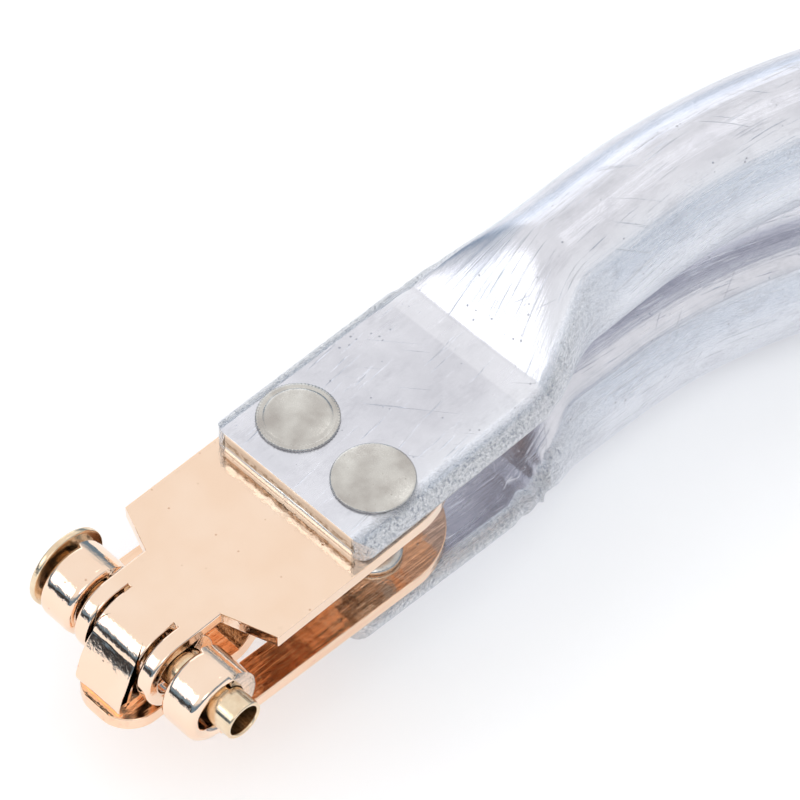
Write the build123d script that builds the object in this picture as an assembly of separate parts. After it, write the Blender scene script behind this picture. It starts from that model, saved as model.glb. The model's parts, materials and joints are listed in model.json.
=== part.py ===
from build123d import *
import math
import os

# A folding frame for the mouth of a bag: two U-shaped aluminium tubes, one above
# the other, joined at their ends by two three-knuckle detent hinges on one axis.
# Millimetres. X runs along the hinge axis, Y from the hinges towards the cross
# bars, Z up. The lower tube lies on z = 0.

# Tubes
hinge_spacing = 230.0  # between the middles of the two hinges
tube_diameter = 10.0
tube_wall = 0.9
bend_radius = 50.0  # centre line of each corner
arm_straight = 6.0  # round and straight, between the ramp and the corner
closed_gap = 0.2  # between the two tubes when the frame is shut

# Flattened tube ends
flat_front = 12.3  # from the pin axis to the cut end
flat_length = 15.7
ramp_length = 8.0  # from flat to round
ramp_sections = 5
flat_squeeze = 0.95  # width lost when the end is pressed in its die
flat_corner = 1.3  # plan radius of the cut corners
seam_gap = 0.1  # left between the two pressed walls

# Hinge leaves and knuckles
leaf_width = 14.0
leaf_thickness = 1.0
leaf_rear = 23.5  # from the pin axis to the rear end of a leaf
leaf_rear_edge = 1.6  # left straight between the two rounded rear corners
barrel_bore = 3.5
barrel_length = 2.85  # each of the two outer knuckles, on the lower leaf
knuckle_play = 0.7  # on each side of the upper leaf's middle knuckle
knuckle_offset = 0.25  # the knuckle sits this far towards the pin head
curl_width = 1.2  # each of the two curls beside the nose
shoulder_front = 4.8  # where the upper leaf's shoulders meet its sides
shoulder_neck = 3.5  # where they meet the knuckle
curl_gap_angle = 45.0  # left open between a rolled edge and its own leaf

# Detent nose of the upper leaf and the tongue of the lower leaf that it snaps over
nose_thickness = 0.8
nose_root = 1.0  # behind the pin axis, where the slits end
nose_slit = 0.25
nose_face_angle = 152.0  # from +Y to the outward normal of the front face
nose_depth = 2.35  # lowest point of the nose, below the pin axis
nose_return = 0.9  # the folded edge ends this far in front of the pin axis
nose_fold_radius = 0.45
tongue_side_gap = 1.25  # between the tongue and each barrel's strip
tongue_reach = 4.2  # in front of the pin axis
tongue_clearance = 0.1  # under the turning curls
tongue_front_edge = 1.0  # left straight between the tongue's two rounded corners
tongue_step_front = 5.4  # the step up to the plate starts this far behind the pin axis
tongue_step_length = 1.8
tongue_root = 1.3  # level with the plate, between the step and the slots' ends

# Pins
pin_play = 0.35  # radial, in the barrels
pin_wall = 0.3
pin_head_overhang = 0.2  # past the barrels, all round
pin_head_thickness = 0.45
pin_head_gap = 0.4
pin_end = 1.7  # past the inner knuckle
pin_rest_gap = 0.07  # left between the pin and its bore where the loose pin lies
pin_rest_angle = 38.0  # from +Y, the side of the bore that it lies against

# Rivets
rivet_spread = 6.8
rivet_y = 16.5
rivet_shank = 3.0
rivet_hole_clearance = 0.05
rivet_head_diameter = 5.5
rivet_head_height = 0.5
rivet_head_rim = 0.22
formed_head_diameter = 4.2
formed_head_height = 0.9
formed_head_rim = 0.3

# Angles between the leaves: as the frame lies, and where the nose face rests on the tongue
rest_angle = 4.0

# Worked out from the sizes above
barrel_radius = barrel_bore / 2 + leaf_thickness
leaf_rear_radius = (leaf_width - leaf_rear_edge) / 2
flat_width = math.pi * (tube_diameter - tube_wall) / 2 + tube_wall - flat_squeeze
flat_thickness = 2 * tube_wall + seam_gap
flat_height = barrel_radius + flat_thickness / 2
tube_height = (tube_diameter + closed_gap) / 2
ramp_front = flat_front + flat_length
round_front = ramp_front + ramp_length
cross_y = round_front + arm_straight + bend_radius
frame_reach = cross_y + tube_diameter / 2
open_angle = 270 - nose_face_angle
tongue_top = -(barrel_radius + tongue_clearance)
slot_width = leaf_width - 2 * barrel_length
tongue_width = slot_width - 2 * tongue_side_gap
tongue_corner = (tongue_width - tongue_front_edge) / 2
tongue_step_rear = tongue_step_front + tongue_step_length
slot_rear = tongue_step_rear + tongue_root
knuckle_width = slot_width - 2 * knuckle_play
nose_width = knuckle_width - 2 * (curl_width + nose_slit)
pin_diameter = barrel_bore - 2 * pin_play
pin_bore = pin_diameter - 2 * pin_wall
pin_head_diameter = 2 * (barrel_radius + pin_head_overhang)
pin_offset = pin_play - pin_rest_gap
axis_y = (tongue_reach - frame_reach) / 2
axis_z = tube_height + tube_diameter / 2


def side_plate(outline, width, middle=0.0):
    """A solid of one Y-Z outline, as wide as given along X."""
    face = make_face(Plane.YZ * outline)
    return extrude(Pos(X=middle) * face, amount=width / 2, both=True)


def plan_plate(corners, low, high):
    """A flat plate of one X-Y outline between two heights."""
    face = make_face(Polyline(*corners, close=True))
    return extrude(Pos(Z=low) * face, amount=high - low)


def curl(width, middle, open_from):
    """A rolled knuckle round the pin axis, open over a wedge that starts at an angle."""
    ring = Circle(barrel_radius) - Circle(barrel_bore / 2)
    far = 2 * barrel_radius
    edges = [math.radians(open_from), math.radians(open_from + curl_gap_angle)]
    points = [(far * math.cos(angle), far * math.sin(angle)) for angle in edges]
    wedge = make_face(Polyline((0, 0), *points, close=True))
    return extrude(Pos(X=middle) * (Plane.YZ * (ring - wedge)), amount=width / 2, both=True)


def leaf_blank(front_corners, low):
    """A leaf's flat plate with its two rear corners rounded."""
    half = leaf_width / 2
    plate = plan_plate([(-half, leaf_rear), *front_corners, (half, leaf_rear)], low, low + leaf_thickness)
    rear = plate.edges().filter_by(Axis.Z).group_by(Axis.Y)[-1]
    return fillet(rear, leaf_rear_radius)


def rivet_places():
    return [(-rivet_spread / 2, rivet_y), (rivet_spread / 2, rivet_y)]


def rivet_holes(shape):
    for x, y in rivet_places():
        shape -= Pos(x, y, 0) * Cylinder(rivet_shank / 2 + rivet_hole_clearance / 2, 8 * barrel_radius)
    return shape


def make_lower_leaf():
    half = leaf_width / 2
    inner = slot_width / 2
    front = [
        (-half, 0),
        (-inner, 0),
        (-inner, slot_rear),
        (inner, slot_rear),
        (inner, 0),
        (half, 0),
    ]
    leaf = leaf_blank(front, -barrel_radius)
    for side in (-1, 1):
        middle = side * (half - barrel_length / 2)
        barrel = curl(barrel_length, middle, -90)
        leaf += barrel
    return rivet_holes(leaf + make_tongue())


def make_tongue():
    """The middle strip: it steps down one thickness to pass under the turning curls."""
    plate_top = leaf_thickness - barrel_radius
    bottom = tongue_top - leaf_thickness
    outline = Polyline(
        (slot_rear, plate_top),
        (tongue_step_rear, plate_top),
        (tongue_step_front, tongue_top),
        (-tongue_reach, tongue_top),
        (-tongue_reach, bottom),
        (tongue_step_front, bottom),
        (tongue_step_rear, -barrel_radius),
        (slot_rear, -barrel_radius),
        close=True,
    )
    tongue = side_plate(outline, tongue_width)
    front = tongue.edges().filter_by(Axis.Z).group_by(Axis.Y)[0]
    return fillet(front, tongue_corner)


def make_upper_leaf():
    half = leaf_width / 2
    left = -knuckle_offset - knuckle_width / 2
    right = -knuckle_offset + knuckle_width / 2
    front = [(-half, shoulder_front), (left, shoulder_neck), (left, 0), (right, 0), (right, shoulder_neck)]
    front.append((half, shoulder_front))
    leaf = leaf_blank(front, barrel_radius - leaf_thickness)
    window = nose_width + 2 * nose_slit
    leaf -= Pos(-knuckle_offset, 0, barrel_radius) * Box(window, 2 * nose_root, 4 * leaf_thickness)
    for side in (-1, 1):
        middle = side * (window + curl_width) / 2 - knuckle_offset
        leaf += curl(curl_width, middle, 90 - curl_gap_angle)
    return rivet_holes(leaf)


def make_nose():
    """The springy strip between the two slits, folded down in front of the pin to a V."""
    angle = math.radians(nose_face_angle)
    half_angle = (math.radians(90) + angle) / 2
    inside = barrel_radius - nose_thickness

    def on_arc(radius, at):
        return (radius * math.cos(at), radius * math.sin(at))

    def down_face(radius, depth):
        run = (radius * math.sin(angle) + depth) / -math.cos(angle)
        return (radius * math.cos(angle) - run * math.sin(angle), -depth)

    lip = nose_depth - nose_thickness
    tip = down_face(barrel_radius, nose_depth)
    outer_arc = ThreePointArc((0, barrel_radius), on_arc(barrel_radius, half_angle), on_arc(barrel_radius, angle))
    inner_arc = ThreePointArc(on_arc(inside, angle), on_arc(inside, half_angle), (0, inside))
    under = Polyline(
        on_arc(barrel_radius, angle),
        tip,
        (-nose_return, -nose_depth),
        (-nose_return, -lip),
        down_face(inside, lip),
        on_arc(inside, angle),
    )
    root = Polyline((0, inside), (nose_root, inside), (nose_root, barrel_radius), (0, barrel_radius))
    nose = side_plate(outer_arc + under + inner_arc + root, nose_width, -knuckle_offset)
    fold = nose.edges().filter_by(Axis.X).group_by(Axis.Y)[0]
    return fillet(fold, nose_fold_radius)


def make_pin():
    """A hollow pin with a thin round head on the outer side of the hinge."""
    left = -leaf_width / 2 - pin_head_gap
    length = leaf_width + pin_head_gap + pin_end
    head = Plane.YZ * Circle(pin_head_diameter / 2)
    shank = Plane.YZ * Circle(pin_diameter / 2)
    bore = Plane.YZ * Circle(pin_bore / 2)
    pin = extrude(Pos(X=left) * shank, amount=length)
    pin += extrude(Pos(X=left - pin_head_thickness) * head, amount=pin_head_thickness)
    pin -= extrude(Pos(X=left - pin_head_thickness) * bore, amount=length + pin_head_thickness)
    rest = math.radians(pin_rest_angle)
    return Pos(0, pin_offset * math.cos(rest), pin_offset * math.sin(rest)) * pin


def dome(diameter, rim, height, sign):
    """The low spherical dome of a round head, from its rim to the axis, above or below its seat."""
    radius = diameter / 2
    rise = height - rim
    ball = (radius * radius + rise * rise) / (2 * rise)
    middle_x = radius / 2
    middle_z = height - ball + math.sqrt(ball * ball - middle_x * middle_x)
    return ThreePointArc((radius, sign * rim), (middle_x, sign * middle_z), (0, sign * height))


def make_rivet(x, y):
    """Head on the outside of the flattened tube, formed end on the inside of the leaf."""
    outer = barrel_radius + flat_thickness
    inner = barrel_radius - leaf_thickness
    shank = rivet_shank / 2
    head = Pos(Y=outer) * dome(rivet_head_diameter, rivet_head_rim, rivet_head_height, 1)
    formed = Pos(Y=inner) * dome(formed_head_diameter, formed_head_rim, formed_head_height, -1)
    side = Polyline(
        formed @ 0,
        (formed_head_diameter / 2, inner),
        (shank, inner),
        (shank, outer),
        (rivet_head_diameter / 2, outer),
        head @ 0,
    )
    outline = head + side + formed + Line(formed @ 1, head @ 1)
    return Pos(x, y, 0) * revolve(make_face(Plane.XZ * outline), Axis.Z)


def ramp_wire(share, width, thickness, diameter, y):
    """One cross-section of the tube's end: four matching edges, flat at 0, round at 1."""
    ease = share * share * (3 - 2 * share)

    def between(flat, rounded):
        return flat + (rounded - flat) * ease

    radius = diameter / 2
    corner = radius / math.sqrt(2)
    across = between(width / 2, radius)
    up = between(thickness / 2, radius)
    corner_x = between((width - thickness) / 2, corner)
    corner_z = between(thickness / 2, corner)
    middle = between(flat_height, tube_height)
    right_top = (corner_x, middle + corner_z)
    left_top = (-corner_x, middle + corner_z)
    left_low = (-corner_x, middle - corner_z)
    right_low = (corner_x, middle - corner_z)
    if share > 0:
        top = ThreePointArc(right_top, (0, middle + up), left_top)
        low = ThreePointArc(left_low, (0, middle - up), right_low)
    else:
        top = Line(right_top, left_top)
        low = Line(left_low, right_low)
    left = ThreePointArc(left_top, (-across, middle), left_low)
    right = ThreePointArc(right_low, (across, middle), right_top)
    plane = Plane(origin=(0, y, 0), x_dir=(1, 0, 0), z_dir=(0, -1, 0))
    return plane * Wire([top, left, low, right])


def tube_end(width, thickness, diameter):
    """Flattened end and ramp, solid, on one arm."""
    flat = make_face(ramp_wire(0, width, thickness, diameter, flat_front))
    flat = extrude(flat, dir=(0, 1, 0), amount=flat_length)
    sections = []
    for step in range(ramp_sections + 1):
        share = step / ramp_sections
        wire = ramp_wire(share, width, thickness, diameter, ramp_front + share * ramp_length)
        sections.append(make_face(wire))
    return flat + loft(sections)


def rounded_end():
    """Plan shape that rounds the two corners of a cut tube end."""
    half = flat_width / 2
    rear = round_front + arm_straight
    corners = [(-half, rear), (-half, flat_front), (half, flat_front), (half, rear)]
    block = plan_plate(corners, 0, 2 * tube_height)
    front = block.edges().filter_by(Axis.Z).group_by(Axis.Y)[0]
    return fillet(front, flat_corner)


def round_run(diameter):
    """The round part of the tube: two arms, two corners and the cross bar."""
    half = hinge_spacing / 2
    bend_y = round_front + arm_straight
    bend_x = half - bend_radius
    diagonal = bend_radius / math.sqrt(2)
    left_middle = (-bend_x - diagonal, bend_y + diagonal)
    right_middle = (bend_x + diagonal, bend_y + diagonal)
    path = Line((-half, round_front), (-half, bend_y))
    path += ThreePointArc((-half, bend_y), left_middle, (-bend_x, cross_y))
    path += Line((-bend_x, cross_y), (bend_x, cross_y))
    path += ThreePointArc((bend_x, cross_y), right_middle, (half, bend_y))
    path += Line((half, bend_y), (half, round_front))
    start = Plane(origin=(-half, round_front, 0), x_dir=(1, 0, 0), z_dir=(0, 1, 0))
    return Pos(Z=tube_height) * sweep(start * Circle(diameter / 2), path=path)


def make_tube():
    """The upper tube, shut, with the pin axis on X."""
    bore = tube_diameter - 2 * tube_wall
    end = tube_end(flat_width, flat_thickness, tube_diameter) & rounded_end()
    hollow = tube_end(flat_width - 2 * tube_wall, seam_gap, bore)
    end = rivet_holes(end - hollow)
    tube = round_run(tube_diameter) - round_run(bore)
    for side in (-1, 1):
        tube += Pos(X=side * hinge_spacing / 2) * end
    return tube


def place(shape, side, upper):
    """Put a left-hand hinge piece on its side of the frame, the upper ones at rest."""
    if side > 0:
        shape = shape.mirror(Plane.YZ)
    shape = Pos(X=side * hinge_spacing / 2) * shape
    return place_in_frame(shape, upper)


def place_in_frame(shape, upper):
    if upper:
        shape = Rot(X=rest_angle) * shape
    return Pos(0, axis_y, axis_z) * shape


def save(shape, name):
    export_step(shape, f"parts/{name}.step")
    print(f"{name}: {len(shape.solids())} solid, {shape.volume:.1f} mm3")


os.makedirs("parts", exist_ok=True)
tube = make_tube()
save(place_in_frame(tube, True), "upper_tube")
save(place_in_frame(tube.mirror(Plane.XY), False), "lower_tube")
upper_leaf = make_upper_leaf()
lower_leaf = make_lower_leaf()
nose = make_nose()
pin = make_pin()
for side_name, side in (("left", -1), ("right", 1)):
    save(place(upper_leaf, side, True), f"{side_name}_upper_leaf")
    save(place(lower_leaf, side, False), f"{side_name}_lower_leaf")
    save(place(nose, side, True), f"{side_name}_detent_nose")
    save(place(pin, side, False), f"{side_name}_hinge_pin")
    for position, (x, y) in zip(("outer", "inner"), rivet_places()):
        rivet = make_rivet(x, y)
        save(place(rivet, side, True), f"{side_name}_upper_{position}_rivet")
        save(place(rivet.mirror(Plane.XY), side, False), f"{side_name}_lower_{position}_rivet")
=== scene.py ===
import json
import math

import bmesh
import bpy
from mathutils import Matrix, Vector, noise


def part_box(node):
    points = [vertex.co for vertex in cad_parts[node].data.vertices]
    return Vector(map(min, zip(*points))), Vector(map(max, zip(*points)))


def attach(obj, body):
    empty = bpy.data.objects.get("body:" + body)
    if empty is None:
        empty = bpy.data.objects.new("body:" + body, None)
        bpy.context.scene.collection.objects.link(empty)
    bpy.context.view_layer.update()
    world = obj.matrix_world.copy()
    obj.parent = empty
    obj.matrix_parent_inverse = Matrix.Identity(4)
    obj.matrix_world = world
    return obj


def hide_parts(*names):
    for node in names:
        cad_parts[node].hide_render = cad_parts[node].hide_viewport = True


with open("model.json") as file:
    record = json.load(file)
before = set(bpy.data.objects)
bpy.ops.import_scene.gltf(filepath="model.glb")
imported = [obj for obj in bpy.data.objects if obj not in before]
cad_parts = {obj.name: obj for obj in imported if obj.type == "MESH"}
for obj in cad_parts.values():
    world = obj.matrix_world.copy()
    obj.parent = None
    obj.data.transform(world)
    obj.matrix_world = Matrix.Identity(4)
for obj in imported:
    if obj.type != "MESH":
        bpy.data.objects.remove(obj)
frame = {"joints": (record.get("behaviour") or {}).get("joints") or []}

# The looks of a folding bag frame. Each piece is built in millimetres in its
# hinge's own axes (X towards the other hinge, Y from the pin to the tubes, Z up,
# the pin axis on X), as if the frame were shut, and then put in its place.

MM = 0.001
touching = 0.01  # points nearer to each other than this, in mm, count as one place
sharp_angle = math.radians(35)  # edges that turn by more than this are rounded
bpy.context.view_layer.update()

# Places, from the frame
fold_joint = next(joint for joint in frame["joints"] if joint["name"] == "frame_fold")
_, axis_y, axis_z = fold_joint["pos_m"]
rest_angle = math.radians(-fold_joint["range_deg"][0])
leaf_low, leaf_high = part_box("left_lower_leaf")
tube_low, tube_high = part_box("lower_tube")
hinge_half = -(leaf_low.x + leaf_high.x) / 2 / MM
hinge_spacing = 2 * hinge_half
leaf_width = (leaf_high.x - leaf_low.x) / MM

# Leaves
leaf_thickness = 1.0
leaf_rear = 23.5
rear_radius = 6.2
barrel_radius = 2.75
barrel_length = 2.85
barrel_root = 0.6
curl_wrap = math.radians(315)
curl_steps = 72
rear_steps = 24
tongue_steps = 12
shoulder_front = 4.8
shoulder_neck = 3.5
knuckle_left = -3.7
knuckle_right = 3.2
curl_width = 1.2
nose_slit = 0.25
slot_rear = 8.5
tongue_half = 2.9
tongue_front = -4.2
tongue_corner = 2.4
tongue_step_rear = 7.2
tongue_step_front = 5.4
tongue_drop = 1.1
barrel_edge = 0.5
knuckle_edge = 0.28
sheet_edge = 0.09

# Tubes
tube_radius = (tube_high.z - tube_low.z) / MM / 2
tube_height = 5.1
flat_half_width = (tube_high.x - tube_low.x) / MM / 2 - hinge_half
flat_half_thickness = 0.95
flat_height = barrel_radius + flat_half_thickness
flat_front = 12.3
ramp_front = 28.0
round_front = 36.0
bend_front = 42.0
bend_radius = 50.0
cut_corner = 1.3
die_line = 27.4
die_step = 0.13
die_line_width = 0.4
ramp_edge = 29.2
ramp_bulge = 0.55
crumple_middle = 29.5
crumple_length = 2.4
crumple_edge = 3.6
crumple_run = 2.4
upper_crumple = 0.15
lower_crumple = 1.0
seam_half_width = 6.0
seam_half_height = 0.09
seam_middle = -0.28
seam_depth = 1.5
seam_lip = 0.12
seam_sag = 0.1
cut_edge = 0.1
arc_steps = 28
corner_steps = 10
flat_steps = 16
ramp_steps = 60
bend_steps = 60
bar_steps = 16

# Nose
nose_root = 1.0
nose_thickness = 0.8
nose_face_angle = math.radians(152)
nose_depth = 2.35
nose_return = 0.9
nose_fold = 0.36
nose_bulge = 0.2
nose_edge = 0.14
nose_curl_steps = 16
nose_face_steps = 12
nose_fold_steps = 14

# Pins
pin_radius = 1.4
pin_bore = 1.1
pin_head_radius = 2.95
pin_head = 0.45
pin_left = -7.4
pin_right = 8.7
pin_offset_y = 0.2206
pin_offset_z = 0.1724
pin_edge = 0.16
pin_steps = 96

# Rivets
rivet_x = 3.4
rivet_y = 16.5
rivet_head_radius = 2.75
rivet_head_rim = 0.22
rivet_head_height = 0.5
formed_radius = 2.1
formed_rim = 0.3
formed_height = 0.9
shank_radius = 1.5
rivet_shoulder = 0.16
head_steps = 24
formed_steps = 12
rim_round = 0.1
rivet_steps = 144
rivet_core = 1.6
groove_radius = 0.84 * rivet_head_radius
groove_depth = 0.09
groove_width = 0.1
rim_teeth = 70
tooth_depth = 0.035
rivet_wander = 0.02

# Floor, light and camera, in metres. Places are from the left hinge, and the sky's
# colour changes between two heights of a direction, 0 level and 1 straight up.
floor_half = 3.0
floor_height = -0.0002
horizon_colour = (0.16, 0.27, 0.40)
zenith_colour = (1.0, 1.0, 1.0)
horizon_end = 0.20
zenith_start = 0.52
soft_lights = (
    # name, place, width, height, brightness
    ("front_light", (-0.37, -0.62, 0.40), 0.42, 0.34, 1.35),
    ("left_light", (-0.70, 0.43, 0.27), 0.60, 0.36, 0.95),
    ("right_light", (0.66, -0.34, 0.46), 0.30, 0.26, 1.7),
    ("back_light", (-0.06, 0.38, 0.74), 0.10, 0.10, 1.5),
)
card_place = (-0.42, -0.80, 0.08)
card_width = 0.8
card_height = 0.12
camera_azimuth = math.radians(40.91)
camera_elevation = math.radians(48.79)
camera_roll = math.radians(5.39)
camera_distance = 249.06 * MM
camera_focal = 4.71825  # in picture widths
camera_aim = Vector((-3.45, 25.88, 0)) * MM


# ---- Meshes ------------------------------------------------------------------


def make_mesh(name, points, faces, face_uvs=None, face_materials=None):
    """A smooth-shaded mesh object, with surface coordinates and materials for its faces if given."""
    mesh = bpy.data.meshes.new(name)
    mesh.from_pydata([tuple(point) for point in points], [], faces)
    if face_uvs:
        layer = mesh.uv_layers.new(name="surface")
        for polygon, corners in zip(mesh.polygons, face_uvs):
            for loop, corner in zip(polygon.loop_indices, corners):
                layer.data[loop].uv = corner
    if face_materials:
        for polygon, index in zip(mesh.polygons, face_materials):
            polygon.material_index = index
    mesh.polygons.foreach_set("use_smooth", [True] * len(mesh.polygons))
    piece = bpy.data.objects.new(name, mesh)
    bpy.context.scene.collection.objects.link(piece)
    return piece


def ease(share):
    """0 to 1 with a level start and end."""
    share = min(1.0, max(0.0, share))
    return share * share * (3 - 2 * share)


def apply_modifiers(piece):
    graph = bpy.context.evaluated_depsgraph_get()
    mesh = bpy.data.meshes.new_from_object(
        piece.evaluated_get(graph), preserve_all_data_layers=True, depsgraph=graph
    )
    piece.modifiers.clear()
    piece.data = mesh


def round_edges(piece, weight_of):
    """Rounds each sharp edge by the radius in mm that weight_of gives for its middle."""
    mesh = piece.data
    work = bmesh.new()
    work.from_mesh(mesh)
    bmesh.ops.recalc_face_normals(work, faces=work.faces)
    layer = work.edges.layers.float.new("bevel_weight_edge")
    for edge in work.edges:
        if edge.is_manifold and edge.calc_face_angle() > sharp_angle:
            middle = (edge.verts[0].co + edge.verts[1].co) / 2
            edge[layer] = weight_of(middle) / barrel_edge
    work.to_mesh(mesh)
    work.free()
    bevel = piece.modifiers.new("edges", "BEVEL")
    bevel.limit_method = "WEIGHT"
    bevel.width = barrel_edge
    bevel.segments = 3
    bevel.use_clamp_overlap = False
    normals = piece.modifiers.new("normals", "WEIGHTED_NORMAL")
    normals.weight = 90
    apply_modifiers(piece)


def sheet(name, rows, limits, present, place, thickness):
    """A bent sheet-metal piece.

    rows are distances along the sheet from rear to front. limits(row) gives the
    edges of its bands across X, present(band, row) says whether a band has metal
    there, and place(band, x, row) gives its middle surface and normal.
    """
    points = []
    index = {}

    def corner(band, x, row, side):
        middle, normal = place(band, x, row)
        point = middle + normal * side * thickness / 2
        key = tuple(round(value, 4) for value in point)
        if key not in index:
            index[key] = len(points)
            points.append(point)
        return index[key]

    faces = []
    edge_count = {}
    edge_pairs = {}
    for first, second in zip(rows, rows[1:]):
        low, high = limits(first), limits(second)
        for band in range(len(low) - 1):
            if not present(band, (first + second) / 2):
                continue
            ring = [
                (low[band], first),
                (low[band + 1], first),
                (high[band + 1], second),
                (high[band], second),
            ]
            top = [corner(band, x, row, 1) for x, row in ring]
            bottom = [corner(band, x, row, -1) for x, row in ring]
            for face in (top, bottom[::-1]):
                kept = [v for i, v in enumerate(face) if v != face[i - 1]]
                if len(kept) > 2:
                    faces.append(kept)
            for i in range(4):
                a, b = top[i], top[(i + 1) % 4]
                if a != b:
                    key = (min(a, b), max(a, b))
                    edge_count[key] = edge_count.get(key, 0) + 1
                    edge_pairs[key] = (a, b, bottom[i], bottom[(i + 1) % 4])
    for key, count in edge_count.items():
        if count == 1:
            a, b, c, d = edge_pairs[key]
            faces.append([b, a, c, d])
    return make_mesh(name, points, faces)


def revolve(name, profile, steps, ripple=None):
    """A piece turned about Z from a closed (radius, height) profile; radius 0 is its axis."""
    points = []
    rings = []
    for radius, height in profile:
        if radius == 0:
            rings.append([len(points)] * steps)
            points.append((0, 0, height))
            continue
        ring = []
        for step in range(steps):
            angle = 2 * math.pi * step / steps
            r, z = (radius, height) if ripple is None else ripple(radius, height, angle)
            ring.append(len(points))
            points.append((r * math.cos(angle), r * math.sin(angle), z))
        rings.append(ring)
    faces = []
    for ring, after in zip(rings, rings[1:]):
        for step in range(steps):
            following = (step + 1) % steps
            face = [ring[step], ring[following], after[following], after[step]]
            kept = [v for i, v in enumerate(face) if v != face[i - 1]]
            if len(kept) > 2:
                faces.append(kept)
    return make_mesh(name, points, faces)


def join(pieces):
    """One object from several; the first keeps its name."""
    work = bmesh.new()
    for piece in pieces:
        work.from_mesh(piece.data)
    work.to_mesh(pieces[0].data)
    work.free()
    for piece in pieces[1:]:
        bpy.data.objects.remove(piece)
    pieces[0].data.polygons.foreach_set("use_smooth", [True] * len(pieces[0].data.polygons))
    return pieces[0]


def put(piece, node, body, side, upper, offset=(0, 0, 0)):
    """Moves a finished hinge piece to its place in the frame and stands it for its CAD node."""
    turn = Matrix.Rotation(rest_angle if upper else 0, 4, "X")
    mirror = Matrix.Diagonal((-side, 1, 1, 1))
    move = Matrix.Translation((side * hinge_half, axis_y / MM, axis_z / MM))
    matrix = Matrix.Diagonal((MM, MM, MM, 1)) @ move @ turn @ mirror @ Matrix.Translation(offset)
    piece.data.transform(matrix)
    if side > 0:
        piece.data.flip_normals()
    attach(piece, body)
    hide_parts(node)


# ---- Leaves ------------------------------------------------------------------


def rear_rows():
    """Rows from the round rear end of a leaf to where its full width starts."""
    start = leaf_rear - rear_radius
    turns = [math.pi / 2 * (1 - i / rear_steps) for i in range(rear_steps)]
    return [start + rear_radius * math.sin(turn) for turn in turns]


def rear_share(row):
    """How much of the full width the leaf has at a row near its rear end."""
    beyond = max(0.0, row - (leaf_rear - rear_radius))
    half = leaf_width / 2
    return (half - rear_radius + math.sqrt(max(0.0, rear_radius**2 - beyond**2))) / half


def curl_rows():
    """Rows round a knuckle, as negative arc lengths at the barrel's middle radius."""
    length = (barrel_radius - leaf_thickness / 2) * curl_wrap
    return [-length * i / curl_steps for i in range(1, curl_steps + 1)]


def curl_place(x, row, up):
    """A point on a knuckle rolled from the top (up = 1) or bottom (up = -1) round the front."""
    radius = barrel_radius - leaf_thickness / 2
    angle = math.pi / 2 - row / radius
    normal = Vector((0, math.cos(angle), up * math.sin(angle)))
    return Vector((x, 0, 0)) + normal * radius, normal


def make_upper_leaf(name):
    """The plate with slanted shoulders and the two narrow curls beside the nose."""
    half = leaf_width / 2
    inner_left = knuckle_left + curl_width
    inner_right = knuckle_right - curl_width
    edges = [-half, knuckle_left, inner_left, inner_right, knuckle_right, half]
    neck_rows = [shoulder_front, shoulder_neck, nose_root, 0]
    rows = [*rear_rows(), leaf_rear - rear_radius, *neck_rows, *curl_rows()]

    def limits(row):
        share = rear_share(row)
        if row >= shoulder_front:
            return [x * share for x in edges]
        cut = max(0.0, (row - shoulder_neck) / (shoulder_front - shoulder_neck))
        left = knuckle_left + (-half - knuckle_left) * cut
        right = knuckle_right + (half - knuckle_right) * cut
        return [left, *edges[1:-1], right]

    def present(band, row):
        if row < nose_root:
            return band in (1, 3)
        return band in (1, 2, 3) or row > shoulder_neck

    def place(band, x, row):
        if row < 0:
            return curl_place(x, row, 1)
        return Vector((x, row, barrel_radius - leaf_thickness / 2)), Vector((0, 0, 1))

    def edge_radius(at):
        if abs(at.y - nose_root) < touching:
            return 0
        return knuckle_edge if at.y < 0.5 else sheet_edge

    leaf = sheet(name, rows, limits, present, place, leaf_thickness)
    round_edges(leaf, edge_radius)
    return leaf


def make_barrel(name, low, high):
    """An outer knuckle, rolled from a strip of the lower leaf round the pin."""
    middle = leaf_thickness / 2 - barrel_radius

    def place(band, x, row):
        if row < 0:
            return curl_place(x, row, -1)
        return Vector((x, row, middle)), Vector((0, 0, -1))

    rows = [barrel_root, 0, *curl_rows()]
    barrel = sheet(name, rows, lambda row: [low, high], lambda band, row: True, place, leaf_thickness)
    round_edges(barrel, lambda at: barrel_edge if at.y < barrel_root - sheet_edge else 0)
    return barrel


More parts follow.
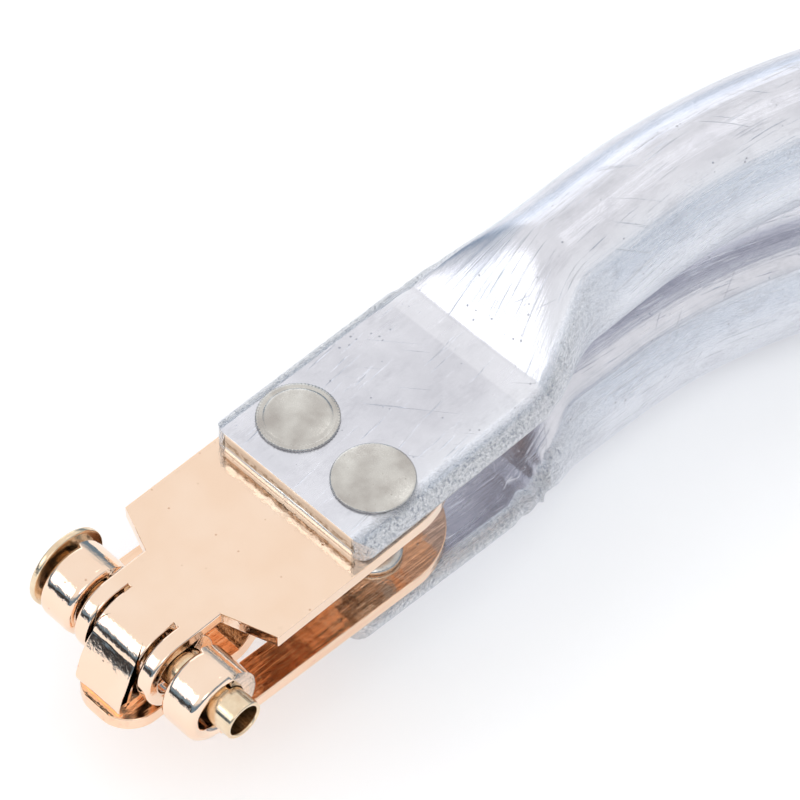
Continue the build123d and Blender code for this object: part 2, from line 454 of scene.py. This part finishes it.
def make_lower_leaf(name):
    """The plate with its stepped tongue, and the two outer knuckles."""
    half = leaf_width / 2
    strip = half - barrel_length
    edges = [-half, -strip, -tongue_half, tongue_half, strip, half]
    corner_turns = [math.pi / 2 * i / tongue_steps for i in range(tongue_steps, -1, -1)]
    front_rows = [tongue_front + tongue_corner * (1 - math.cos(turn)) for turn in corner_turns]
    step_length = tongue_step_rear - tongue_step_front
    step_rows = [tongue_step_rear - step_length * i / tongue_steps for i in range(tongue_steps + 1)]
    rows = [*rear_rows(), leaf_rear - rear_radius, slot_rear, *step_rows, 0, *front_rows]
    middle = leaf_thickness / 2 - barrel_radius

    def limits(row):
        share = rear_share(row)
        if row > 0:
            return [x * share for x in edges]
        beyond = min(tongue_corner, max(0.0, tongue_front + tongue_corner - row))
        width = tongue_half - tongue_corner + math.sqrt(tongue_corner**2 - beyond**2)
        return [-half, -strip, -width, width, strip, half]

    def present(band, row):
        if row < 0:
            return band == 2
        return row > slot_rear or band in (0, 2, 4)

    def place(band, x, row):
        share = min(1.0, max(0.0, (tongue_step_rear - row) / step_length))
        if band != 2 or share == 0:
            return Vector((x, row, middle)), Vector((0, 0, 1))
        slope = 6 * share * (1 - share) * tongue_drop / step_length
        return Vector((x, row, middle - ease(share) * tongue_drop)), Vector((0, -slope, 1)).normalized()

    leaf = sheet(name, rows, limits, present, place, leaf_thickness)
    round_edges(leaf, lambda at: sheet_edge)
    leaf.data.polygons.foreach_set("material_index", [1] * len(leaf.data.polygons))
    barrels = [
        make_barrel(f"{name}_left_barrel", -half, -strip),
        make_barrel(f"{name}_right_barrel", strip, half),
    ]
    return join([leaf, *barrels])


# ---- Nose --------------------------------------------------------------------


def direction(angle):
    """The unit vector at an angle from +Y towards +Z."""
    return Vector((math.cos(angle), math.sin(angle)))


def nose_path():
    """The nose's middle line and normals, in the plane of Y and Z, from its root to its folded edge."""
    radius = barrel_radius - nose_thickness / 2
    face = direction(nose_face_angle)
    down = Vector((-face.y, face.x))
    start = face * radius
    depth = nose_depth - nose_thickness / 2
    run = (start.y + depth - nose_fold * (1 - face.y)) / -face.x
    path = [(Vector((nose_root, radius)), Vector((0, 1)))]
    for step in range(nose_curl_steps + 1):
        normal = direction(math.pi / 2 + (nose_face_angle - math.pi / 2) * step / nose_curl_steps)
        path.append((normal * radius, normal))
    for step in range(1, nose_face_steps):
        share = step / nose_face_steps
        bulge = nose_bulge * math.sin(math.pi * share)
        slope = nose_bulge * math.pi / run * math.cos(math.pi * share)
        path.append((start + down * run * share + face * bulge, (face - down * slope).normalized()))
    fold_centre = start + down * run - face * nose_fold
    turn = math.radians(270) - nose_face_angle
    for step in range(1, nose_fold_steps + 1):
        normal = direction(nose_face_angle + turn * step / nose_fold_steps)
        path.append((fold_centre + normal * nose_fold, normal))
    path.append((Vector((-nose_return, path[-1][0].y)), Vector((0, -1))))
    return path


def make_nose(name):
    """The strip between the slits, folded down in front of the pin and back under it."""
    path = nose_path()
    left = knuckle_left + curl_width + nose_slit
    right = knuckle_right - curl_width - nose_slit

    def place(band, x, row):
        middle, normal = path[row]
        return Vector((x, middle.x, middle.y)), Vector((0, normal.x, normal.y))

    rows = list(range(len(path)))
    nose = sheet(name, rows, lambda row: [left, right], lambda band, row: True, place, nose_thickness)
    round_edges(nose, lambda at: 0 if at.y > nose_root - touching else nose_edge)
    return nose


# ---- Pins and rivets ---------------------------------------------------------


def rounded(profile, radius, steps=4):
    """Rounds the corners of a closed (radius, height) profile that are off the axis."""
    result = []
    count = len(profile)
    for at in range(count):
        here = Vector(profile[at])
        before, after = Vector(profile[at - 1]), Vector(profile[(at + 1) % count])
        to_before, to_after = before - here, after - here
        room = min(to_before.length, to_after.length) / 2
        cut = min(radius, room)
        start = here + to_before.normalized() * cut
        end = here + to_after.normalized() * cut
        for step in range(steps + 1):
            share = step / steps
            point = start * (1 - share) ** 2 + here * 2 * share * (1 - share) + end * share**2
            result.append((point.x, point.y))
    return result


def make_pin(name):
    """A thin rolled tube with its outer end spread to a flat flange."""
    outline = [
        (pin_bore, pin_left - pin_head),
        (pin_bore, pin_right),
        (pin_radius, pin_right),
        (pin_radius, pin_left),
        (pin_head_radius, pin_left),
        (pin_head_radius, pin_left - pin_head),
    ]
    profile = rounded(outline, pin_edge)
    profile.append(profile[0])
    pin = revolve(name, profile, pin_steps)
    pin.data.transform(Matrix.Rotation(math.pi / 2, 4, "Y"))
    work = bmesh.new()
    work.from_mesh(pin.data)
    bmesh.ops.remove_doubles(work, verts=work.verts, dist=1e-5)
    bmesh.ops.recalc_face_normals(work, faces=work.faces)
    work.to_mesh(pin.data)
    work.free()
    return pin


def make_rivet(name, serrated):
    """A low domed head on the tube, a shank, and a formed end inside the leaf."""
    outer = barrel_radius + 2 * flat_half_thickness
    inner = barrel_radius - leaf_thickness
    head = []
    for step in range(head_steps):
        radius = (rivet_head_radius - rivet_shoulder) * math.cos(step / head_steps * math.pi / 2)
        crown = 1 - (radius / rivet_head_radius) ** 2
        lift = rivet_head_rim + (rivet_head_height - rivet_head_rim) * crown
        if serrated:
            lift -= groove_depth * math.exp(-(((radius - groove_radius) / groove_width) ** 2))
        head.append((radius, outer + lift))
    rim = [
        (rivet_head_radius - rim_round, outer),
        (rivet_head_radius, outer + 0.8 * rim_round),
        (rivet_head_radius, outer + 1.7 * rim_round),
        (rivet_head_radius - 0.6 * rim_round, outer + rivet_head_rim + 0.1 * rim_round),
    ]
    formed = []
    for step in range(formed_steps + 1):
        turn = step / formed_steps * math.pi / 2
        drop = formed_rim + (formed_height - formed_rim) * math.cos(turn)
        formed.append((formed_radius * math.sin(turn), inner - drop))
    shank = [(formed_radius, inner), (shank_radius, inner), (shank_radius, outer)]
    profile = [*formed, *shank, *rim, *head, (0, outer + rivet_head_height)]

    def ripple(radius, height, angle):
        on_rim = serrated and height > outer - touching and radius > 0.93 * rivet_head_radius
        tooth = tooth_depth * (0.5 + 0.5 * math.sin(rim_teeth * angle)) if on_rim else 0
        round_place = Vector((3 * math.cos(angle), 3 * math.sin(angle), 0.4))
        wander = rivet_wander * abs(noise.noise(round_place)) if radius > rivet_core else 0
        return radius - tooth - wander, height - 0.4 * tooth

    return revolve(name, profile, 4 * rim_teeth if serrated else rivet_steps, ripple)


# ---- Tubes -------------------------------------------------------------------


def tube_section(y):
    """Half width, half thickness, corner and height of the pressed end at a place along it."""
    share = ease((y - ramp_front) / (round_front - ramp_front))
    into = min(1.0, max(0.0, (y - ramp_edge) / (round_front - ramp_edge)))
    rise = into * (2 - into) * ramp_bulge + ease(into) * (1 - ramp_bulge)
    step = die_step * ease((y - die_line) / die_line_width) * (1 - rise)
    corner = tube_radius / math.sqrt(2)
    flat_corner = flat_half_width - flat_half_thickness
    return (
        flat_half_width + (tube_radius - flat_half_width) * share,
        flat_half_thickness + step + (tube_radius - flat_half_thickness) * rise,
        flat_corner + (corner - flat_corner) * share,
        flat_half_thickness + step / 2 + (corner - flat_half_thickness) * rise,
        flat_height + (tube_height - flat_height) * rise,
    )


def arc(start, middle, end, steps):
    """Points from start towards end on the circle through three points, without the end."""
    ax, ay = start
    bx, by = middle
    cx, cy = end
    area = 2 * (ax * (by - cy) + bx * (cy - ay) + cx * (ay - by))
    if abs(area) < 1e-6:
        return [(ax + (cx - ax) * i / steps, ay + (cy - ay) * i / steps) for i in range(steps)]
    a, b, c = ax**2 + ay**2, bx**2 + by**2, cx**2 + cy**2
    centre_x = (a * (by - cy) + b * (cy - ay) + c * (ay - by)) / area
    centre_y = (a * (cx - bx) + b * (ax - cx) + c * (bx - ax)) / area
    radius = math.hypot(ax - centre_x, ay - centre_y)
    first = math.atan2(ay - centre_y, ax - centre_x)
    last = math.atan2(cy - centre_y, cx - centre_x)
    while last < first:
        last += 2 * math.pi
    turns = [first + (last - first) * i / steps for i in range(steps)]
    return [(centre_x + radius * math.cos(turn), centre_y + radius * math.sin(turn)) for turn in turns]


def section_ring(y):
    """The tube's outline at y, as (across, height from its middle): right side, top, left side, bottom."""
    across, up, corner_x, corner_z, middle = tube_section(y)
    right_top, left_top = (corner_x, corner_z), (-corner_x, corner_z)
    left_low, right_low = (-corner_x, -corner_z), (corner_x, -corner_z)
    ring = [
        *arc(right_low, (across, 0), right_top, arc_steps),
        *arc(right_top, (0, up), left_top, arc_steps),
        *arc(left_top, (-across, 0), left_low, arc_steps),
        *arc(left_low, (0, -up), right_low, arc_steps),
    ]
    return ring, middle


def cut_width(y):
    """Half width left by the two rounded corners of the cut end."""
    into = max(0.0, flat_front + cut_corner - y)
    return flat_half_width - cut_corner + math.sqrt(max(0.0, cut_corner**2 - into**2))


def end_stations():
    """Distances from the pin axis of the pressed end's sections."""
    turns = [math.pi / 2 * i / corner_steps for i in range(corner_steps + 1)]
    corner = [flat_front + cut_corner * (1 - math.cos(turn)) for turn in turns]
    flat_start = flat_front + cut_corner
    flat = [flat_start + (die_line - flat_start) * i / flat_steps for i in range(1, flat_steps + 1)]
    ramp = [die_line + (round_front - die_line) * i / ramp_steps for i in range(1, ramp_steps + 1)]
    return [*corner, *flat, *ramp, bend_front]


def crumple(point, middle, depth):
    """Pushes a point of a folded side in, where the press wrinkled the tube."""
    fold = depth * math.exp(-(((point.y - crumple_middle) / crumple_length) ** 2))
    fold *= ease((abs(point.x) - crumple_edge) / crumple_run)
    fold *= 0.5 + noise.noise(Vector((0.9, 1.1, 0.9)) * point)
    point.x -= math.copysign(max(0, fold), point.x)
    point.z -= 0.5 * (point.z - middle) / tube_radius * fold


def tube_rings(crumple_depth):
    """Rings of points along half of the tube, with each ring's distance along it."""
    rings = []
    for y in end_stations():
        ring, middle = section_ring(y)
        limit = cut_width(y)
        points = [Vector((min(limit, max(-limit, x)), y, middle + z)) for x, z in ring]
        for point in points:
            crumple(point, middle, crumple_depth)
        rings.append((points, y))
    circle, middle = section_ring(round_front)
    for step in range(1, bend_steps + 1):
        angle = math.pi / 2 * step / bend_steps
        out = Vector((-math.cos(angle), math.sin(angle), 0))
        centre = Vector((bend_radius, bend_front, middle))
        points = [centre + out * (bend_radius - x) + Vector((0, 0, z)) for x, z in circle]
        rings.append((points, bend_front + bend_radius * angle))
    bar = hinge_half - bend_radius
    for step in range(1, bar_steps + 1):
        run = bar * step / bar_steps
        points = [Vector((bend_radius + run, bend_front + bend_radius - x, middle + z)) for x, z in circle]
        rings.append((points, bend_front + bend_radius * math.pi / 2 + run))
    return rings


def seam_outline(outer, limit):
    """The open seam in the cut end: a thin uneven lens, sagging a little."""
    outline = []
    for x, z in outer:
        across = x / limit * seam_half_width
        wander = 0.5 + 0.5 * noise.noise(Vector((across * 1.3, 0.2, 5.1)))
        height = seam_half_height * (1 - (across / seam_half_width) ** 2) * (0.5 + wander)
        sag = seam_middle + seam_sag * noise.noise(Vector((across * 0.5, 7.7, 0.3)))
        outline.append((across, max(-height, min(height, z)) + sag))
    return outline


def cut_rings():
    """Rings of the cut end, from inside the seam out to the tube's own first ring."""
    ring, middle = section_ring(flat_front)
    limit = cut_width(flat_front)
    outer = [(min(limit, max(-limit, x)), z) for x, z in ring]
    edge = []
    for x, z in outer:
        inset = min(cut_edge, abs(x)) if abs(x) > limit - touching else 0
        edge.append((x - math.copysign(inset, x), z * (1 - cut_edge / flat_half_thickness)))
    seam = seam_outline(outer, limit)
    return [
        [Vector((x, flat_front + seam_depth, middle + z * 0.2)) for x, z in seam],
        [Vector((x, flat_front + seam_lip, middle + z)) for x, z in seam],
        [Vector((x, flat_front, middle + z * 1.25)) for x, z in seam],
        [Vector((x, flat_front, middle + z)) for x, z in edge],
    ]


def make_tube(name, upper):
    """The whole tube: two pressed ends, two corners and the cross bar."""
    caps = cut_rings()
    rows = [(ring, flat_front) for ring in caps] + tube_rings(upper_crumple if upper else lower_crumple)
    for ring, along in rows[:-1][::-1]:
        mirrored = [Vector((hinge_spacing - point.x, point.y, point.z)) for point in ring]
        rows.append((mirrored, along))
    points = [point for ring, _ in rows for point in ring]
    count = len(caps[0])
    last = len(rows) - 1
    around = 2 * math.pi * tube_radius
    spacing = round(hinge_spacing)
    faces = []
    face_uvs = []
    face_materials = []
    for at in range(last):
        on_cap = at < len(caps) or at >= last - len(caps)
        near, far = rows[at][1], rows[at + 1][1]
        for step in range(count):
            following = (step + 1) % count
            here, beyond = at * count, (at + 1) * count
            face = [here + step, beyond + step, beyond + following, here + following]
            faces.append(face)
            face_materials.append(1 if on_cap else 0)
            if on_cap:
                face_uvs.append([(points[v].x % spacing, points[v].z - flat_height) for v in face])
            else:
                u0, u1 = around * step / count, around * (step + 1) / count
                face_uvs.append([(u0, near), (u0, far), (u1, far), (u1, near)])
    faces.append(list(range(count)))
    faces.append([last * count + step for step in range(count)][::-1])
    face_materials += [1, 1]
    face_uvs += [[(0, 0)] * count] * 2
    if not upper:
        points = [Vector((point.x, point.y, -point.z)) for point in points]
        faces = [face[::-1] for face in faces]
        face_uvs = [corners[::-1] for corners in face_uvs]
    return make_mesh(name, points, faces, face_uvs, face_materials)


# ---- Materials ---------------------------------------------------------------


class Shader:
    """A material's nodes, with short helpers."""

    def __init__(self, name, colour, roughness, metallic=1.0):
        self.material = bpy.data.materials.new(name)
        self.material.use_nodes = True
        self.nodes = self.material.node_tree.nodes
        self.links = self.material.node_tree.links
        self.bsdf = next(node for node in self.nodes if node.type == "BSDF_PRINCIPLED")
        self.bsdf.inputs["Base Color"].default_value = (*colour, 1)
        self.bsdf.inputs["Roughness"].default_value = roughness
        self.bsdf.inputs["Metallic"].default_value = metallic

    def add(self, kind, **settings):
        node = self.nodes.new(kind)
        for key, value in settings.items():
            setattr(node, key, value)
        return node

    def link(self, output, target):
        self.links.new(output, target)

    def where(self, source, scale, turn=0.0):
        """Object or surface coordinates, stretched by a scale in 1/mm and turned."""
        if source == "object":
            output = self.add("ShaderNodeTexCoord").outputs["Object"]
            scale = [value / MM for value in scale]
        else:
            output = self.add("ShaderNodeUVMap", uv_map="surface").outputs["UV"]
        if turn:
            turned = self.add("ShaderNodeMapping")
            turned.inputs["Rotation"].default_value = (0, 0, math.radians(turn))
            self.link(output, turned.inputs["Vector"])
            output = turned.outputs["Vector"]
        mapping = self.add("ShaderNodeMapping")
        mapping.inputs["Scale"].default_value = scale
        self.link(output, mapping.inputs["Vector"])
        return mapping.outputs["Vector"]

    def noise(self, vector, detail=3.0, roughness=0.5, distortion=0.0):
        node = self.add("ShaderNodeTexNoise")
        node.inputs["Scale"].default_value = 1.0
        node.inputs["Detail"].default_value = detail
        node.inputs["Roughness"].default_value = roughness
        node.inputs["Distortion"].default_value = distortion
        self.link(vector, node.inputs["Vector"])
        return node.outputs["Fac"]

    def cells(self, vector, randomness=1.0):
        node = self.add("ShaderNodeTexVoronoi")
        node.inputs["Scale"].default_value = 1.0
        node.inputs["Randomness"].default_value = randomness
        self.link(vector, node.inputs["Vector"])
        return node.outputs["Distance"]

    def across(self, source, axis):
        """One coordinate in mm."""
        split = self.add("ShaderNodeSeparateXYZ")
        self.link(self.where(source, (1, 1, 1)), split.inputs["Vector"])
        return split.outputs[axis]

    def between(self, value, low, high, to_low, to_high):
        """A value rescaled and held between two limits."""
        node = self.add("ShaderNodeMapRange", clamp=True)
        node.inputs["From Min"].default_value = low
        node.inputs["From Max"].default_value = high
        node.inputs["To Min"].default_value = to_low
        node.inputs["To Max"].default_value = to_high
        self.link(value, node.inputs["Value"])
        return node.outputs["Result"]

    def math(self, operation, first, second=0.0):
        node = self.add("ShaderNodeMath", operation=operation)
        for target, value in zip(node.inputs, (first, second)):
            if isinstance(value, (int, float)):
                target.default_value = value
            else:
                self.link(value, target)
        return node.outputs["Value"]

    def mix(self, factor, first, second):
        node = self.add("ShaderNodeMix", data_type="RGBA")
        self.link(factor, node.inputs["Factor"])
        for target, colour in ((node.inputs["A"], first), (node.inputs["B"], second)):
            if isinstance(colour, tuple):
                target.default_value = (*colour, 1)
            else:
                self.link(colour, target)
        return node.outputs["Result"]

    def bump(self, height, distance, strength=1.0, before=None):
        node = self.add("ShaderNodeBump")
        node.inputs["Distance"].default_value = distance * MM
        node.inputs["Strength"].default_value = strength
        self.link(height, node.inputs["Height"])
        if before is not None:
            self.link(before, node.inputs["Normal"])
        return node.outputs["Normal"]


def leaf_material(name, draw_depth, dark, light, drawn_dark):
    s = Shader(name, (0.95, 0.72, 0.55), 0.09)
    broad = s.noise(s.where("object", (0.25, 0.25, 0.25)), 2)
    fine = s.noise(s.where("object", (9, 9, 9)), 4, 0.6)
    rubbed = s.noise(s.where("object", (7, 0.35, 7)), 3)
    drawn = s.noise(s.where("object", (2.6, 0.12, 2.6)), 4, 0.6)
    wavy = s.noise(s.where("object", (1.3, 1.3, 1.3)), 3)
    spots = s.cells(s.where("object", (0.85, 0.85, 0.85)))
    spot = s.between(spots, 0.02, 0.09, 0.0, 1.0)
    stain = s.between(s.noise(s.where("object", (0.9, 0.9, 0.9)), 5, 0.7), 0.64, 0.74, 0, 0.35)
    tone = s.mix(s.between(broad, 0.35, 0.65, 0, 1), dark, light)
    tone = s.mix(s.between(drawn, 0.5, 0.62, 0, drawn_dark), tone, (0.55, 0.26, 0.13))
    tone = s.mix(stain, tone, (0.80, 0.58, 0.44))
    s.link(s.mix(spot, (0.66, 0.42, 0.29), tone), s.bsdf.inputs["Base Color"])
    rough = s.math("ADD", s.between(rubbed, 0.4, 0.7, 0.05, 0.12), s.between(fine, 0.45, 0.7, 0, 0.05))
    s.link(rough, s.bsdf.inputs["Roughness"])
    normal = s.bump(wavy, 0.03)
    normal = s.bump(drawn, draw_depth, before=normal)
    normal = s.bump(fine, 0.0016, before=normal)
    s.link(s.bump(spot, 0.012, before=normal), s.bsdf.inputs["Normal"])
    return s.material


def pin_material():
    s = Shader("brass_pin", (0.83, 0.68, 0.42), 0.16)
    drawn = s.noise(s.where("object", (0.5, 12, 12)), 3)
    cloud = s.noise(s.where("object", (1.2, 1.2, 1.2)), 3)
    fine = s.noise(s.where("object", (9, 9, 9)), 4, 0.65)
    s.link(s.mix(cloud, (0.70, 0.50, 0.32), (0.93, 0.80, 0.60)), s.bsdf.inputs["Base Color"])
    s.link(s.between(drawn, 0.3, 0.7, 0.08, 0.24), s.bsdf.inputs["Roughness"])
    s.link(s.bump(fine, 0.004, before=s.bump(drawn, 0.008)), s.bsdf.inputs["Normal"])
    return s.material


def rivet_material():
    s = Shader("nickel_rivet", (0.66, 0.63, 0.59), 0.3)
    cloud = s.noise(s.where("object", (0.6, 0.6, 0.6)), 4)
    grain = s.noise(s.where("object", (8, 8, 8)), 4, 0.65)
    pits = s.between(s.cells(s.where("object", (1.9, 1.9, 1.9))), 0.03, 0.11, 0.0, 1.0)
    tone = s.mix(s.between(cloud, 0.3, 0.7, 0, 1), (0.46, 0.43, 0.40), (0.67, 0.65, 0.61))
    s.link(s.mix(pits, (0.38, 0.35, 0.31), tone), s.bsdf.inputs["Base Color"])
    s.link(s.between(grain, 0.3, 0.7, 0.16, 0.3), s.bsdf.inputs["Roughness"])
    normal = s.bump(grain, 0.01)
    normal = s.bump(pits, 0.012, before=normal)
    s.link(s.bump(cloud, 0.06, before=normal), s.bsdf.inputs["Normal"])
    return s.material


def tube_material():
    s = Shader("drawn_aluminium", (0.83, 0.83, 0.87), 0.32)
    quarter = math.pi * tube_radius / 2
    around = s.math("MODULO", s.across("surface", "X"), 2 * quarter)
    round_at = s.math("ABSOLUTE", s.math("SUBTRACT", around, quarter / 2))
    side = s.between(round_at, quarter * 0.40, quarter * 0.56, 1.0, 0.0)
    pressed = s.between(s.across("surface", "Y"), ramp_front, round_front + 2, 1.0, 0.16)
    side = s.math("MULTIPLY", side, pressed)
    lines = s.noise(s.where("surface", (7, 0.06, 1)), 4, 0.6)
    bands = s.noise(s.where("surface", (1.1, 0.02, 1)), 2)
    cloud = s.noise(s.where("object", (0.16, 0.16, 0.16)), 5, 0.65)
    stain = s.noise(s.where("surface", (0.9, 0.22, 1)), 6, 0.75)
    grain = s.noise(s.where("object", (7, 7, 7)), 4, 0.7)
    crumbs = s.noise(s.where("object", (4.6, 4.6, 4.6)), 6, 0.85)
    scratch = s.between(s.noise(s.where("surface", (5.5, 0.16, 1), 4), 2), 0.63, 0.70, 0, 1)
    slanted = s.between(s.noise(s.where("surface", (6.0, 0.13, 1), -38), 2), 0.68, 0.73, 0, 1)
    marks = s.math("MAXIMUM", scratch, slanted)
    spotted = s.between(s.noise(s.where("object", (0.5, 0.5, 0.5)), 3), 0.42, 0.6, -0.04, 0.13)
    pit_places = s.math("SUBTRACT", s.cells(s.where("object", (1.7, 1.7, 1.7))), spotted)
    pits = s.between(pit_places, -0.05, 0.02, 0.0, 1.0)
    tone = s.mix(s.between(cloud, 0.35, 0.65, 0, 1), (0.65, 0.65, 0.70), (0.77, 0.77, 0.82))
    # Painted reflection: the sides of the tube are painted lighter and bluish, as if mirroring the bright
    # floor.
    painted_side_reflection = s.between(round_at, quarter * 0.40, quarter * 0.75, 0.8, 0.0)
    tone = s.mix(painted_side_reflection, tone, (0.86, 0.88, 0.93))
    tone = s.mix(s.between(stain, 0.5, 0.68, 0, 0.5), tone, (0.52, 0.52, 0.57))
    tone = s.mix(s.math("MULTIPLY", marks, 0.26), tone, (0.42, 0.43, 0.47))
    # Painted glints and a painted dark blue-grey reflection band: the folded sides of the pressed ends are
    # speckled dark and near-white where they crumple.
    painted_glint_speckle = s.mix(s.between(crumbs, 0.42, 0.50, 0, 1), (0.40, 0.43, 0.50), (0.99, 0.99, 1.0))
    tone = s.mix(s.math("MULTIPLY", side, 0.8), tone, painted_glint_speckle)
    strip = s.math("ABSOLUTE", s.math("SUBTRACT", s.across("surface", "Y"), die_line + 0.9))
    tone = s.mix(s.between(strip, 0.8, 1.0, 0.35, 0.0), tone, (0.90, 0.90, 0.94))
    s.link(s.mix(pits, (0.50, 0.50, 0.54), tone), s.bsdf.inputs["Base Color"])
    rough = s.math("ADD", s.between(lines, 0.35, 0.65, 0.15, 0.25), s.between(cloud, 0.4, 0.7, 0.0, 0.08))
    s.link(rough, s.bsdf.inputs["Roughness"])
    normal = s.bump(bands, 0.05)
    normal = s.bump(lines, 0.018, before=normal)
    normal = s.bump(grain, 0.010, before=normal)
    normal = s.bump(s.math("MULTIPLY", crumbs, side), 0.32, before=normal)
    normal = s.bump(s.math("SUBTRACT", 1.0, marks), 0.02, before=normal)
    s.link(s.bump(pits, 0.025, before=normal), s.bsdf.inputs["Normal"])
    return s.material


def cut_material():
    s = Shader("cut_aluminium", (0.72, 0.70, 0.68), 0.4)
    torn = s.noise(s.where("surface", (2.2, 4, 1)), 5, 0.7, 0.4)
    grain = s.noise(s.where("surface", (9, 9, 1)), 3)
    streaks = s.noise(s.where("surface", (0.5, 7, 1)), 3)
    seam = s.between(s.math("ABSOLUTE", s.across("surface", "Y")), 0.12, 0.34, 1.0, 0.10)
    rough_part = s.math("MULTIPLY", s.between(torn, 0.42, 0.60, 1, 0), seam)
    tone = s.mix(s.between(streaks, 0.35, 0.65, 0, 1), (0.96, 0.94, 0.90), (1.0, 0.98, 0.95))
    s.link(s.mix(rough_part, tone, (0.50, 0.40, 0.30)), s.bsdf.inputs["Base Color"])
    s.link(s.between(rough_part, 0, 1, 0.34, 0.6), s.bsdf.inputs["Roughness"])
    normal = s.bump(s.math("MULTIPLY", torn, seam), 0.08, before=s.bump(grain, 0.01))
    s.link(normal, s.bsdf.inputs["Normal"])
    return s.material


# ---- The object --------------------------------------------------------------

copper = leaf_material("copper_plate", 0.002, (0.92, 0.69, 0.525), (0.945, 0.735, 0.58), 0.0)
# A shaded copy of the copper plate for the lower leaf: painted deeper orange for the warm bounce light
# between the two leaves, with drawing streaks.
copper_drawn_gap_shaded = leaf_material("copper_plate_drawn_gap_shaded", 0.035, (0.95, 0.64, 0.44), (0.97, 0.71, 0.53), 0.12)
brass = pin_material()
nickel = rivet_material()
aluminium = tube_material()
cut = cut_material()

sides = (("left", -1), ("right", 1))
for level, upper in (("upper", True), ("lower", False)):
    body = f"{level}_frame"
    tube = make_tube(f"{level}_tube_skin", upper)
    tube.data.materials.append(aluminium)
    tube.data.materials.append(cut)
    put(tube, f"{level}_tube", body, -1, upper)
    for side_name, side in sides:
        name = f"{side_name}_{level}_leaf"
        leaf = make_upper_leaf(f"{name}_plate") if upper else make_lower_leaf(f"{name}_plate")
        leaf.data.materials.append(copper)
        # The lower leaf's plate gets the copper copy with the painted gap shade.
        if not upper:
            leaf.data.materials.append(copper_drawn_gap_shaded)
        put(leaf, name, body, side, upper)
        for position, x in (("outer", -rivet_x), ("inner", rivet_x)):
            node = f"{side_name}_{level}_{position}_rivet"
            rivet = make_rivet(f"{node}_metal", position == "outer")
            rivet.data.materials.append(nickel)
            if not upper:
                rivet.data.transform(Matrix.Rotation(math.pi, 4, "Y"))
            put(rivet, node, body, side, upper, (x, rivet_y, 0))

pin_place = (0, pin_offset_y, pin_offset_z)
for side_name, side in sides:
    nose = make_nose(f"{side_name}_nose_strip")
    nose.data.materials.append(copper)
    put(nose, f"{side_name}_detent_nose", "upper_frame", side, True)
    pin = make_pin(f"{side_name}_pin_tube")
    pin.data.materials.append(brass)
    put(pin, f"{side_name}_hinge_pin", f"{side_name}_pin", side, False, pin_place)

# ---- Floor, light and camera -------------------------------------------------


hinge = Vector((-hinge_half * MM, axis_y, axis_z))


def facing_hinge(place):
    """A placement at a distance from the left hinge, facing it."""
    back = Vector(place).normalized()
    return Matrix.Translation(hinge + Vector(place)) @ back.to_track_quat("Z", "Y").to_matrix().to_4x4()


def rectangle(name, width, height, lift=0.0):
    """A flat sheet, facing up."""
    x, y = width / 2, height / 2
    corners = [(-x, -y, lift), (x, -y, lift), (x, y, lift), (-x, y, lift)]
    return make_mesh(name, corners, [[0, 1, 2, 3]])


def soft_light(name, place, width, height, brightness):
    """A rectangular light of a given brightness."""
    light = bpy.data.lights.new(name, "AREA")
    light.shape = "RECTANGLE"
    light.size = width
    light.size_y = height
    light.energy = brightness * math.pi * width * height
    piece = bpy.data.objects.new(name, light)
    piece.matrix_world = facing_hinge(place)
    bpy.context.scene.collection.objects.link(piece)


def dark_card(name, place, width, height):
    """A dark card that only shows in reflections."""
    piece = rectangle(name, width, height)
    piece.matrix_world = facing_hinge(place)
    piece.data.materials.append(Shader("dark_card", (0.03, 0.03, 0.035), 0.9, 0.0).material)
    piece.visible_camera = False
    piece.visible_diffuse = False
    piece.visible_shadow = False


def paper_floor():
    """A wide sheet of white paper under the object."""
    paper = Shader("floor_paper", (0.93, 0.93, 0.935), 0.85, 0.0)
    paper.bsdf.inputs["Emission Color"].default_value = (1, 1, 1, 1)
    paper.bsdf.inputs["Emission Strength"].default_value = 0.22
    floor = rectangle("floor", 2 * floor_half, 2 * floor_half, floor_height)
    floor.data.materials.append(paper.material)


def studio_world():
    """A white tent, brightest overhead and blue-grey towards the horizon."""
    world = bpy.data.worlds.new("studio")
    world.use_nodes = True
    nodes, links = world.node_tree.nodes, world.node_tree.links
    split = nodes.new("ShaderNodeSeparateXYZ")
    links.new(nodes.new("ShaderNodeTexCoord").outputs["Generated"], split.inputs["Vector"])
    height = nodes.new("ShaderNodeMapRange")
    height.interpolation_type = "SMOOTHSTEP"
    height.inputs["From Min"].default_value = horizon_end
    height.inputs["From Max"].default_value = zenith_start
    links.new(split.outputs["Z"], height.inputs["Value"])
    mix = nodes.new("ShaderNodeMix")
    mix.data_type = "RGBA"
    mix.inputs["A"].default_value = (*horizon_colour, 1)
    mix.inputs["B"].default_value = (*zenith_colour, 1)
    links.new(height.outputs["Result"], mix.inputs["Factor"])
    links.new(mix.outputs["Result"], nodes["Background"].inputs["Color"])
    return world


def make_camera():
    """The camera, at its distance from its aim and rolled about its line of sight."""
    back = Vector(
        (
            math.sin(camera_azimuth) * math.cos(camera_elevation),
            -math.cos(camera_azimuth) * math.cos(camera_elevation),
            math.sin(camera_elevation),
        )
    )
    right = Vector((0, 0, 1)).cross(back).normalized()
    above = back.cross(right)
    rolled_right = right * math.cos(camera_roll) + above * math.sin(camera_roll)
    rolled_above = above * math.cos(camera_roll) - right * math.sin(camera_roll)
    place = Matrix((rolled_right, rolled_above, back)).transposed().to_4x4()
    place.translation = hinge + camera_aim + back * camera_distance
    camera = bpy.data.objects.new("camera", bpy.data.cameras.new("camera"))
    camera.matrix_world = place
    camera.data.lens = camera_focal * camera.data.sensor_width
    camera.data.clip_start = 0.01
    bpy.context.scene.collection.objects.link(camera)
    return camera


paper_floor()
bpy.context.scene.world = studio_world()
for name, place, width, height, brightness in soft_lights:
    soft_light(name, place, width, height, brightness)
dark_card("front_card", card_place, card_width, card_height)
bpy.context.scene.camera = make_camera()
bpy.context.scene.view_settings.view_transform = "Standard"
